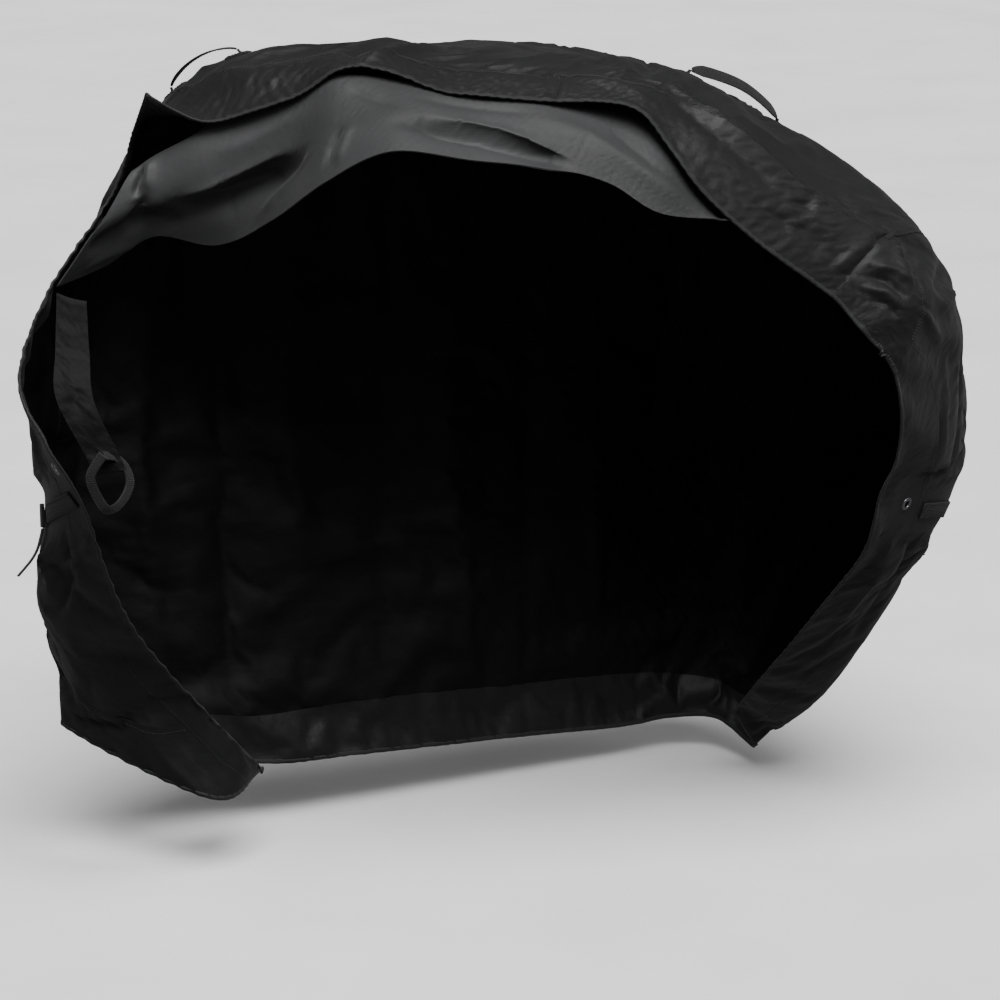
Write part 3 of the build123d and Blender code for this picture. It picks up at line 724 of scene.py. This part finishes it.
drop_cells = cells_of(drop, 0, drop.shape()[0] - 1, 0, DROP_END)
made["front_drop"] = panel("front_drop_cloth", drop, drop_cells, 0.0, CLOTH_THICK,
                           [DROP_FACE_PAINTED_SHADE, INSIDE_PAINTED_SHADE], "front_drop")

# binding: a tape folded over the cut edge, with a stitched row on each face
EDGES = {"front_binding": (row, 0, 1), "back_binding": (row, V_LAST, V_LAST - 1),
         "left_binding": (column, 0, 1), "right_binding": (column, U_LAST, U_LAST - 1)}
TAPE_WIDTH, TAPE_THICK = 0.007, 0.0036
for name, (line_at, edge, inner) in EDGES.items():
    points, normals = line_at(outer, edge, 0.0)
    across = side_frames(points, normals)[1]
    inward = line_at(outer, inner, 0.0)[0] - points
    side = np.sign((inward * across).sum(axis=1).mean())
    profile = [(x * side, y) for x, y in rounded(TAPE_WIDTH, TAPE_THICK)]
    if side < 0:
        profile = profile[::-1]
    centre = points + across * side * 0.0026 - normals * 0.0007
    tape = swept(f"{name}_tape", centre, normals, profile, TAPE_AND_EDGE_HIGHLIGHT)
    finished(tape, replaces=[name])
    made[name] = tape
    thread_lines = [(centre + across * side * 0.0018 + face * 0.0017, face)
                    for face in (normals, -normals)]
    made[f"{name}_stitches"] = finished(stitches(f"{name}_stitches", thread_lines, THREAD))

# stitched rows on the hem and beside the seams
STITCH_LIFT = 0.0008
hem_span = (STITCH_LIFT, SIDE_HEM, U_LAST - SIDE_HEM)
seam_rows = [row(outer, HEM - 0.6, *hem_span), row(outer, HEM - 1.5, *hem_span),
             row(outer, V_LAST - BACK_HEM + 0.7, *hem_span),
             column(outer, SIDE_HEM - 0.7, STITCH_LIFT, HEM),
             column(outer, U_LAST - SIDE_HEM + 0.7, STITCH_LIFT, HEM)]
seam_lift = SEAM_RISE + 0.0002
for seam in (LEFT_SEAM, RIGHT_SEAM):
    for step in (-0.7, 0.7):
        seam_rows.append(column(outer, seam + step, seam_lift, HEM, V_LAST - BACK_HEM))
for step in (-0.7, 0.7):
    seam_rows.append(row(outer, REAR_SEAM + step, seam_lift, LEFT_SEAM, RIGHT_SEAM))
for join in HEM_JOINS:
    for step in (-0.4, 0.4):
        seam_rows.append(column(outer, join + step, 0.0009, 0, HEM))
made["seam_stitches"] = finished(stitches("seam_stitches", seam_rows, THREAD))

# ---------------------------------------------------------------- webbing and hardware
WEB_WIDTH = 0.025
STITCH_ROWS = (-0.0095, 0.0095)          # from the webbing's centre line


def tape_along(name, points, normals, widths, thick=0.0021):
    """Webbing whose width changes along its line."""
    points, normals = np.array(points, float), np.array(normals, float)
    along, across = side_frames(points, normals)
    up = np.cross(across, along)
    verts, flat = [], []
    for k, run in enumerate(lengths(points)):
        for x, y in rounded(WEB_WIDTH, thick):
            side = math.copysign(max(abs(x) - WEB_WIDTH / 2 + widths[k] / 2, 0.0004), x)
            verts.append(points[k] + across[k] * side + up[k] * y)
            flat.append((run, x))
    return new_mesh(name, verts, tube_faces(len(points), len(rounded(WEB_WIDTH, thick))),
                    [WEBBING], flat)


def smooth_line(knots, count):
    """Points on a smooth line through the knots."""
    weights = spline_weights(len(knots), max(1, count // (len(knots) - 1)))
    return weights @ np.array(knots, float)


def on_cloth(stations, count, lift):
    """A line on the outer face, over smoothed stations."""
    points, normals = [], []
    for u, v in smooth_line(stations, count):
        point, normal = outer.place(u, v)
        points.append(np.array(point) + np.array(normal) * lift)
        normals.append(np.array(normal))
    points, normals = np.array(points), np.array(normals)
    for _ in range(3):
        normals[1:-1] = (normals[:-2] + normals[1:-1] + normals[2:]) / 3
        points[1:-1] = (points[:-2] + 2 * points[1:-1] + points[2:]) / 4
    return points, normals / np.linalg.norm(normals, axis=1, keepdims=True)


near = grid_mesh("near", outer.points)
tree = BVHTree.FromPolygons([v.co for v in near.vertices],
                            [tuple(p.vertices) for p in near.polygons])
bpy.data.meshes.remove(near)
HANDLE_STEPS = 40
NECK_WIDTH, NECK_LENGTH = 0.009, 0.014               # where a handle narrows at each end
PATCH_LENGTH, PATCH_BREADTH, PATCH_CELLS = 0.034, 0.026, 14
PATCH_TOP, PATCH_BOTTOM, PATCH_ROUND = 0.0024, -0.0004, 0.0009
BOX_STITCH = [(-0.013, -0.009), (0.013, -0.009), (0.013, 0.009), (-0.013, 0.009)]
joints = {joint["name"]: joint for joint in frame["record"]["behaviour"]["joints"]}
for side, ends in HANDLES.items():
    hinge = joints[f"{side}_handle_swing"]
    start, along = Vector(hinge["pos_m"]), Vector(hinge["axis"]).normalized()
    solid = [v.co - start for v in frame["nodes"][f"{side}_handle"].data.vertices]
    span = max(v.dot(along) for v in solid)
    rises = [v - along * v.dot(along) for v in solid if abs(v.dot(along) - span / 2) < span / 5]
    up = sum(rises, Vector()).normalized()
    rise = max(v.dot(up) for v in rises)
    points, normals, widths = [], [], []
    for k in range(HANDLE_STEPS + 1):
        t = k / HANDLE_STEPS
        height = rise * (1 - (2 * t - 1) ** 2) ** 0.85
        sway = 0.0012 * math.sin(t * 9.0) * math.sin(math.pi * t)
        points.append(start + along * span * t + up * height + along.cross(up) * sway)
        reach = min(t, 1 - t) * span
        widths.append(NECK_WIDTH + (WEB_WIDTH - NECK_WIDTH) * min(reach / NECK_LENGTH, 1) ** 0.7)
    for k in range(HANDLE_STEPS + 1):
        run = points[min(k + 1, HANDLE_STEPS)] - points[max(k - 1, 0)]
        normals.append(along.cross(up).cross(run).normalized() * -1)
    strap = tape_along(f"{side}_handle_webbing", points, normals, widths)
    finished(strap, body=f"{side}_handle", replaces=[f"{side}_handle"])
    edge_rows = []
    faces = np.array(normals, float)
    across = side_frames(points, faces)[1]
    for offset in STITCH_ROWS:
        line = np.array(points, float)[5:-5] + across[5:-5] * offset
        face = faces[5:-5]
        edge_rows.append((line + face * 0.0011, face))
    finished(stitches(f"{side}_handle_stitches", edge_rows, THREAD), body=f"{side}_handle")

    # each end is folded flat, sewn down with a square and a cross, and rises to the hinge
    sewn, threads = [], []
    for (u, v), corner, outward in zip(ends, (start, start + along * span), (-1, 1)):
        centre, normal = outer.place(u, v)
        x_dir = (along - normal * along.dot(normal)).normalized()
        y_dir = normal.cross(x_dir)
        sewn.append((centre, normal, x_dir, y_dir, corner, outward))
    verts, faces, flat = [], [], []
    for centre, normal, x_dir, y_dir, corner, outward in sewn:
        def dropped(x, y, lift):
            spot = centre + x_dir * x + y_dir * y
            hit = tree.ray_cast(spot + normal * 0.05, -normal)[0]
            return (hit if hit is not None else spot) + normal * lift
        cells = PATCH_CELLS
        base = len(verts)
        for layer in (PATCH_TOP, PATCH_BOTTOM):
            for a in range(cells + 1):
                for b in range(cells + 1):
                    x, y = (a / cells - 0.5) * PATCH_LENGTH, (b / cells - 0.5) * PATCH_BREADTH
                    at_edge = min(a, b, cells - a, cells - b) == 0
                    sunk = PATCH_ROUND if at_edge and layer == PATCH_TOP else 0
                    verts.append(dropped(x, y, layer - sunk))
                    flat.append((x, y))
        step, layer_size = cells + 1, (cells + 1) ** 2
        for a in range(cells):
            for b in range(cells):
                q = [base + a * step + b, base + (a + 1) * step + b,
                     base + (a + 1) * step + b + 1, base + a * step + b + 1]
                faces.append(tuple(q))
                faces.append(tuple(i + layer_size for i in reversed(q)))
        ring = ([(a, 0) for a in range(cells)] + [(cells, b) for b in range(cells)]
                + [(a, cells) for a in range(cells, 0, -1)] + [(0, b) for b in range(cells, 0, -1)])
        ring = [base + a * step + b for a, b in ring]
        for m, n in zip(ring, ring[1:] + ring[:1]):
            faces.append((n, m, m + layer_size, n + layer_size))
        for p, q in ((0, 1), (1, 2), (2, 3), (3, 0), (0, 2), (1, 3)):
            (xa, ya), (xb, yb) = BOX_STITCH[p], BOX_STITCH[q]
            line = [dropped(xa + (xb - xa) * s, ya + (yb - ya) * s, 0.0026)
                    for s in np.linspace(0, 1, 8)]
            threads.append((line, [normal] * len(line)))
    patch = new_mesh(f"{side}_handle_ends", verts, faces, [WEBBING], flat)
    finished(patch, replaces=[f"{side}_handle_patches"])
    finished(stitches(f"{side}_handle_end_stitches", threads, THREAD))
    for number, (centre, normal, x_dir, _, corner, outward) in enumerate(sewn):
        foot = tree.ray_cast(corner + x_dir * outward * 0.004 + normal * 0.05, -normal)[0]
        foot = foot if foot is not None else centre
        top = corner + x_dir * outward * 0.0016
        knots = [foot + x_dir * outward * 0.006 + normal * 0.0016,
                 foot + normal * 0.003, top + normal * -0.001]
        line = smooth_line(knots, 12)
        face = [(normal - x_dir * outward * s).normalized()
                for s in np.linspace(0, 1.6, len(line))]
        neck = tape_along(f"{side}_handle_neck_{number + 1}", line, face, [0.0095] * len(line))
        finished(neck)

TAIL = [(0, 0), (0.012, 0.0032), (0.028, 0.0085), (0.041, 0.0165), (0.052, 0.0262),
        (0.0624, 0.036)]                 # down the cloth and away from it
for side, stations in STRAPS.items():
    for part, chosen in (("long", stations[:5]), ("short", stations[6:])):
        points, normals = on_cloth(chosen, 32, 0.0022)
        strap = tape_along(f"{side}_strap_{part}_webbing", points, normals,
                           [WEB_WIDTH] * len(points))
        finished(strap, replaces=[f"{side}_strap_{part}"])
        across = side_frames(points, normals)[1]
        rows = [(points + across * offset + normals * 0.0012, normals)
                for offset in STITCH_ROWS]
        finished(stitches(f"{side}_strap_{part}_stitches", rows, THREAD))

    # the free end comes out of the lock, hangs and curls away from the cloth
    hinge = joints[f"{side}_tail_swing"]
    start, axis = Vector(hinge["pos_m"]), Vector(hinge["axis"]).normalized()
    solid = [v.co - start for v in frame["nodes"][f"{side}_strap_tail"].data.vertices]
    tip = max(solid, key=lambda v: v.length)
    tip = tip - axis * tip.dot(axis)
    down = Matrix.Rotation(-math.atan2(TAIL[-1][1], TAIL[-1][0]), 3, axis) @ tip.normalized()
    out = axis.cross(down)
    knots = [start + down * x + out * y for x, y in TAIL]
    line = smooth_line(knots, 40)
    face = np.array([axis.cross(Vector(d)).normalized() for d in np.gradient(line, axis=0)], float)
    tail = tape_along(f"{side}_strap_tail_webbing", line, face, [WEB_WIDTH] * len(line))
    finished(tail, body=f"{side}_tail", replaces=[f"{side}_strap_tail"])
    across = side_frames(line, face)[1]
    hem_line = [line[-4] + across[-4] * s + face[-4] * 0.0012 for s in np.linspace(-0.01, 0.01, 8)]
    finished(stitches(f"{side}_strap_tail_stitches", [(hem_line, [face[-4]] * 8)], THREAD),
             body=f"{side}_tail")

# the loose end of the front finishes in a loop of webbing
LOOP = [(-603, 12, -416), (-612, 16, -430), (-618, 20, -448), (-611, 16, -472), (-599, 10, -490),
        (-578, 14, -484), (-562, 20, -463), (-566, 24, -440), (-582, 21, -424), (-600, 15, -418)]
line = smooth_line(np.array(LOOP) / 1000, 72)
outward = line - line.mean(axis=0)
outward /= np.linalg.norm(outward, axis=1, keepdims=True)
face = outward * 0.6 + np.array((-0.38, -0.67, 0.21))
face /= np.linalg.norm(face, axis=1, keepdims=True)
loop = tape_along("front_drop_loop", line, face, [0.015] * len(line))
finished(loop)
across = side_frames(line, face)[1]
finished(stitches("front_drop_loop_stitches",
                  [(line[:-3] + across[:-3] * 0.0056 + face[:-3] * 0.0011, face[:-3])], THREAD))

# eyelets: a rolled flange on the outside, a washer inside, set in a round hole
EYELET = [(5.0, -3.2), (5.0, 0.9), (5.25, 1.5), (5.9, 2.0), (7.0, 2.15), (8.4, 1.9), (9.5, 1.2),
          (10.0, 0.6), (9.9, 0.35), (6.5, 0.4), (6.5, -1.9), (9.8, -1.95), (10.0, -2.3),
          (9.3, -2.75), (6.2, -3.1)]     # radius and height in mm
TURNS, HOLE_RADIUS = 56, 0.0062
for name, (u, v) in HARDWARE.items():
    low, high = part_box(name)
    centre = (low + high) / 2
    face, normal = outer.place(u, v)
    x_dir = normal.orthogonal().normalized()
    y_dir = normal.cross(x_dir)
    level = (face - centre).dot(normal)
    verts, faces = [], []
    for k in range(TURNS):
        c, s = math.cos(2 * math.pi * k / TURNS), math.sin(2 * math.pi * k / TURNS)
        for r, h in EYELET:
            verts.append(centre + normal * (level + h / 1000)
                         + (x_dir * c + y_dir * s) * (r / 1000))
    size = len(EYELET)
    for k in range(TURNS):
        for m in range(size):
            n, q = (m + 1) % size, (k + 1) % TURNS
            faces.append((k * size + m, k * size + n, q * size + n, q * size + m))
    ring = new_mesh(f"{name}_ring", verts, faces, [METAL])
    finished(ring, replaces=[name])
    hem = made[name.replace("eyelet", "hem")]
    cutter_mesh = bpy.data.meshes.new("cutter")
    shape = bmesh.new()
    bmesh.ops.create_cone(shape, cap_ends=True, segments=48, radius1=HOLE_RADIUS,
                          radius2=HOLE_RADIUS, depth=0.03)
    shape.to_mesh(cutter_mesh)
    shape.free()
    cutter = bpy.data.objects.new("cutter", cutter_mesh)
    bpy.context.collection.objects.link(cutter)
    cutter.matrix_world = (Matrix.Translation(centre)
                           @ normal.to_track_quat("Z", "Y").to_matrix().to_4x4())
    bpy.context.view_layer.update()
    cut = hem.modifiers.new("hole", "BOOLEAN")
    cut.operation, cut.solver, cut.object = "DIFFERENCE", "EXACT", cutter
    cut_mesh = bpy.data.meshes.new_from_object(
        hem.evaluated_get(bpy.context.evaluated_depsgraph_get()))
    hem.modifiers.clear()
    hem.data = cut_mesh
    bpy.data.objects.remove(cutter)

for side in ("left", "right"):
    lock = frame["nodes"][f"{side}_ladder_lock"]
    lock.data.materials.clear()
    lock.data.materials.append(PLASTIC)

# ---------------------------------------------------------------- floor and finish
floor_mesh = bpy.data.meshes.new("floor")
corners = [(x * FLOOR_HALF, y * FLOOR_HALF, FLOOR_Z)
           for x, y in ((-1, -1), (1, -1), (1, 1), (-1, 1))]
floor_mesh.from_pydata(corners, [], [(0, 1, 2, 3)])
floor = bpy.data.objects.new("floor", floor_mesh)
bpy.context.collection.objects.link(floor)
paint = moulded("floor_paint", (0.93, 0.93, 0.93), 0.6, scale=3, bump=0.02)
floor_mesh.materials.append(paint)
floor.visible_diffuse = floor.visible_glossy = False    # no light comes off it onto the cover
